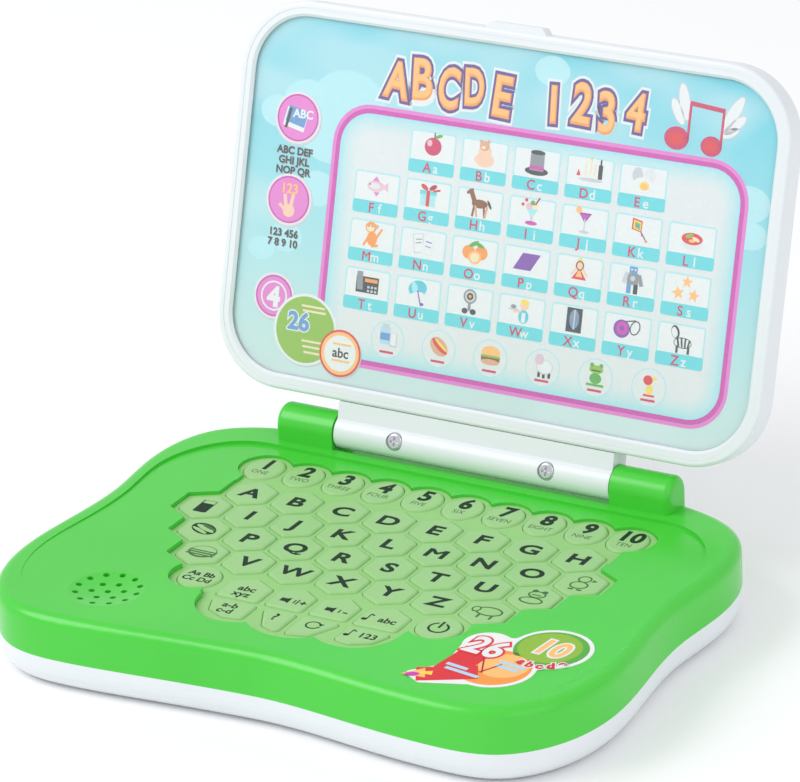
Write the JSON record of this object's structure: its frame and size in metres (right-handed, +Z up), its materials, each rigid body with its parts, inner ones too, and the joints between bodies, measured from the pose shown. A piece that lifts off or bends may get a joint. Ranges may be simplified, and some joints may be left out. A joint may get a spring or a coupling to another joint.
{
  "type": "toy laptop computer",
  "caption": "Fold-open toy learning laptop: rounded base with honeycomb letter and number keys and speaker grille, hinged lid with a framed picture board.",
  "frame": {"origin": "middle of the flat standing band under the base", "axes": "+X across the front towards the right hand, +Y from the user towards the hinge, +Z up"},
  "size_m": [0.218, 0.2003, 0.1708],
  "materials": {
    "green_plastic": "satin gloss bright green ABS",
    "white_plastic": "satin cool white ABS",
    "keypad_rubber": "translucent pale green silicone",
    "sticker_film": "printed glossy film",
    "screw_steel": "zinc plated",
    "cell_jacket": "plain dark jacket",
    "spring_steel": "nickel plated spring steel",
    "board_laminate": "green laminate",
    "speaker_steel": "pressed steel",
    "speaker_paper": "black paper cone",
    "magnet_ferrite": "dark ferrite",
    "wire_sleeve": "red sleeve",
    "picture_card": "printed card",
    "clear_film": "clear glossy film",
    "pin_steel": "bright steel"
  },
  "bodies": {
    "base": {"base_top_shell": "green_plastic", "base_bottom_shell": "white_plastic", "keypad_sheet": "keypad_rubber", "base_sticker": "sticker_film", "battery_door": "white_plastic", "battery_door_screw": "screw_steel", "case_screws": "screw_steel", "batteries": "cell_jacket", "battery_contacts": "spring_steel", "circuit_board": "board_laminate", "speaker_frame": "speaker_steel", "speaker_cone": "speaker_paper", "speaker_magnet": "magnet_ferrite", "lead_wires": "wire_sleeve"},
    "lid": {"lid_back_shell": "white_plastic", "lid_front_frame": "white_plastic", "picture_panel": "picture_card", "picture_window": "clear_film", "hinge_barrel_cover": "white_plastic", "hinge_screws": "screw_steel", "hinge_pins": "pin_steel"},
    "key_a": {"key_a": "keypad_rubber"},
    "key_b": {"key_b": "keypad_rubber"},
    "key_c": {"key_c": "keypad_rubber"},
    "key_d": {"key_d": "keypad_rubber"},
    "key_e": {"key_e": "keypad_rubber"},
    "key_f": {"key_f": "keypad_rubber"},
    "key_g": {"key_g": "keypad_rubber"},
    "key_h": {"key_h": "keypad_rubber"},
    "key_i": {"key_i": "keypad_rubber"},
    "key_j": {"key_j": "keypad_rubber"},
    "key_k": {"key_k": "keypad_rubber"},
    "key_l": {"key_l": "keypad_rubber"},
    "key_m": {"key_m": "keypad_rubber"},
    "key_n": {"key_n": "keypad_rubber"},
    "key_o": {"key_o": "keypad_rubber"},
    "key_p": {"key_p": "keypad_rubber"},
    "key_q": {"key_q": "keypad_rubber"},
    "key_r": {"key_r": "keypad_rubber"},
    "key_s": {"key_s": "keypad_rubber"},
    "key_t": {"key_t": "keypad_rubber"},
    "key_u": {"key_u": "keypad_rubber"},
    "key_v": {"key_v": "keypad_rubber"},
    "key_w": {"key_w": "keypad_rubber"},
    "key_x": {"key_x": "keypad_rubber"},
    "key_y": {"key_y": "keypad_rubber"},
    "key_z": {"key_z": "keypad_rubber"},
    "key_1": {"key_1": "keypad_rubber"},
    "key_2": {"key_2": "keypad_rubber"},
    "key_3": {"key_3": "keypad_rubber"},
    "key_4": {"key_4": "keypad_rubber"},
    "key_5": {"key_5": "keypad_rubber"},
    "key_6": {"key_6": "keypad_rubber"},
    "key_7": {"key_7": "keypad_rubber"},
    "key_8": {"key_8": "keypad_rubber"},
    "key_9": {"key_9": "keypad_rubber"},
    "key_10": {"key_10": "keypad_rubber"},
    "key_power": {"key_power": "keypad_rubber"},
    "picture_keys": {"picture_keys": "keypad_rubber"},
    "function_keys": {"function_keys": "keypad_rubber"}
  },
  "joints": [
    {"name": "lid_hinge", "type": "hinge", "parent": "base", "child": "lid", "pos_m": [0, 0.0743, 0.0313], "axis": [1, 0, 0], "range_deg": [-18, 106.8]},
    {"name": "key_a_press", "type": "slide", "parent": "base", "child": "key_a", "axis": [0, 0, -1], "range_m": [0, 0.001], "stiffness_N_per_m": 300},
    {"name": "key_b_press", "type": "slide", "parent": "base", "child": "key_b", "axis": [0, 0, -1], "range_m": [0, 0.001], "stiffness_N_per_m": 300},
    {"name": "key_c_press", "type": "slide", "parent": "base", "child": "key_c", "axis": [0, 0, -1], "range_m": [0, 0.001], "stiffness_N_per_m": 300},
    {"name": "key_d_press", "type": "slide", "parent": "base", "child": "key_d", "axis": [0, 0, -1], "range_m": [0, 0.001], "stiffness_N_per_m": 300},
    {"name": "key_e_press", "type": "slide", "parent": "base", "child": "key_e", "axis": [0, 0, -1], "range_m": [0, 0.001], "stiffness_N_per_m": 300},
    {"name": "key_f_press", "type": "slide", "parent": "base", "child": "key_f", "axis": [0, 0, -1], "range_m": [0, 0.001], "stiffness_N_per_m": 300},
    {"name": "key_g_press", "type": "slide", "parent": "base", "child": "key_g", "axis": [0, 0, -1], "range_m": [0, 0.001], "stiffness_N_per_m": 300},
    {"name": "key_h_press", "type": "slide", "parent": "base", "child": "key_h", "axis": [0, 0, -1], "range_m": [0, 0.001], "stiffness_N_per_m": 300},
    {"name": "key_i_press", "type": "slide", "parent": "base", "child": "key_i", "axis": [0, 0, -1], "range_m": [0, 0.001], "stiffness_N_per_m": 300},
    {"name": "key_j_press", "type": "slide", "parent": "base", "child": "key_j", "axis": [0, 0, -1], "range_m": [0, 0.001], "stiffness_N_per_m": 300},
    {"name": "key_k_press", "type": "slide", "parent": "base", "child": "key_k", "axis": [0, 0, -1], "range_m": [0, 0.001], "stiffness_N_per_m": 300},
    {"name": "key_l_press", "type": "slide", "parent": "base", "child": "key_l", "axis": [0, 0, -1], "range_m": [0, 0.001], "stiffness_N_per_m": 300},
    {"name": "key_m_press", "type": "slide", "parent": "base", "child": "key_m", "axis": [0, 0, -1], "range_m": [0, 0.001], "stiffness_N_per_m": 300},
    {"name": "key_n_press", "type": "slide", "parent": "base", "child": "key_n", "axis": [0, 0, -1], "range_m": [0, 0.001], "stiffness_N_per_m": 300},
    {"name": "key_o_press", "type": "slide", "parent": "base", "child": "key_o", "axis": [0, 0, -1], "range_m": [0, 0.001], "stiffness_N_per_m": 300},
    {"name": "key_p_press", "type": "slide", "parent": "base", "child": "key_p", "axis": [0, 0, -1], "range_m": [0, 0.001], "stiffness_N_per_m": 300},
    {"name": "key_q_press", "type": "slide", "parent": "base", "child": "key_q", "axis": [0, 0, -1], "range_m": [0, 0.001], "stiffness_N_per_m": 300},
    {"name": "key_r_press", "type": "slide", "parent": "base", "child": "key_r", "axis": [0, 0, -1], "range_m": [0, 0.001], "stiffness_N_per_m": 300},
    {"name": "key_s_press", "type": "slide", "parent": "base", "child": "key_s", "axis": [0, 0, -1], "range_m": [0, 0.001], "stiffness_N_per_m": 300},
    {"name": "key_t_press", "type": "slide", "parent": "base", "child": "key_t", "axis": [0, 0, -1], "range_m": [0, 0.001], "stiffness_N_per_m": 300},
    {"name": "key_u_press", "type": "slide", "parent": "base", "child": "key_u", "axis": [0, 0, -1], "range_m": [0, 0.001], "stiffness_N_per_m": 300},
    {"name": "key_v_press", "type": "slide", "parent": "base", "child": "key_v", "axis": [0, 0, -1], "range_m": [0, 0.001], "stiffness_N_per_m": 300},
    {"name": "key_w_press", "type": "slide", "parent": "base", "child": "key_w", "axis": [0, 0, -1], "range_m": [0, 0.001], "stiffness_N_per_m": 300},
    {"name": "key_x_press", "type": "slide", "parent": "base", "child": "key_x", "axis": [0, 0, -1], "range_m": [0, 0.001], "stiffness_N_per_m": 300},
    {"name": "key_y_press", "type": "slide", "parent": "base", "child": "key_y", "axis": [0, 0, -1], "range_m": [0, 0.001], "stiffness_N_per_m": 300},
    {"name": "key_z_press", "type": "slide", "parent": "base", "child": "key_z", "axis": [0, 0, -1], "range_m": [0, 0.001], "stiffness_N_per_m": 300},
    {"name": "key_1_press", "type": "slide", "parent": "base", "child": "key_1", "axis": [0, 0, -1], "range_m": [0, 0.001], "stiffness_N_per_m": 300},
    {"name": "key_2_press", "type": "slide", "parent": "base", "child": "key_2", "axis": [0, 0, -1], "range_m": [0, 0.001], "stiffness_N_per_m": 300},
    {"name": "key_3_press", "type": "slide", "parent": "base", "child": "key_3", "axis": [0, 0, -1], "range_m": [0, 0.001], "stiffness_N_per_m": 300},
    {"name": "key_4_press", "type": "slide", "parent": "base", "child": "key_4", "axis": [0, 0, -1], "range_m": [0, 0.001], "stiffness_N_per_m": 300},
    {"name": "key_5_press", "type": "slide", "parent": "base", "child": "key_5", "axis": [0, 0, -1], "range_m": [0, 0.001], "stiffness_N_per_m": 300},
    {"name": "key_6_press", "type": "slide", "parent": "base", "child": "key_6", "axis": [0, 0, -1], "range_m": [0, 0.001], "stiffness_N_per_m": 300},
    {"name": "key_7_press", "type": "slide", "parent": "base", "child": "key_7", "axis": [0, 0, -1], "range_m": [0, 0.001], "stiffness_N_per_m": 300},
    {"name": "key_8_press", "type": "slide", "parent": "base", "child": "key_8", "axis": [0, 0, -1], "range_m": [0, 0.001], "stiffness_N_per_m": 300},
    {"name": "key_9_press", "type": "slide", "parent": "base", "child": "key_9", "axis": [0, 0, -1], "range_m": [0, 0.001], "stiffness_N_per_m": 300},
    {"name": "key_10_press", "type": "slide", "parent": "base", "child": "key_10", "axis": [0, 0, -1], "range_m": [0, 0.001], "stiffness_N_per_m": 300},
    {"name": "key_power_press", "type": "slide", "parent": "base", "child": "key_power", "axis": [0, 0, -1], "range_m": [0, 0.001], "stiffness_N_per_m": 300},
    {"name": "picture_keys_press", "type": "slide", "parent": "base", "child": "picture_keys", "axis": [0, 0, -1], "range_m": [0, 0.001], "stiffness_N_per_m": 1800},
    {"name": "function_keys_press", "type": "slide", "parent": "base", "child": "function_keys", "axis": [0, 0, -1], "range_m": [0, 0.001], "stiffness_N_per_m": 2700}
  ]
}
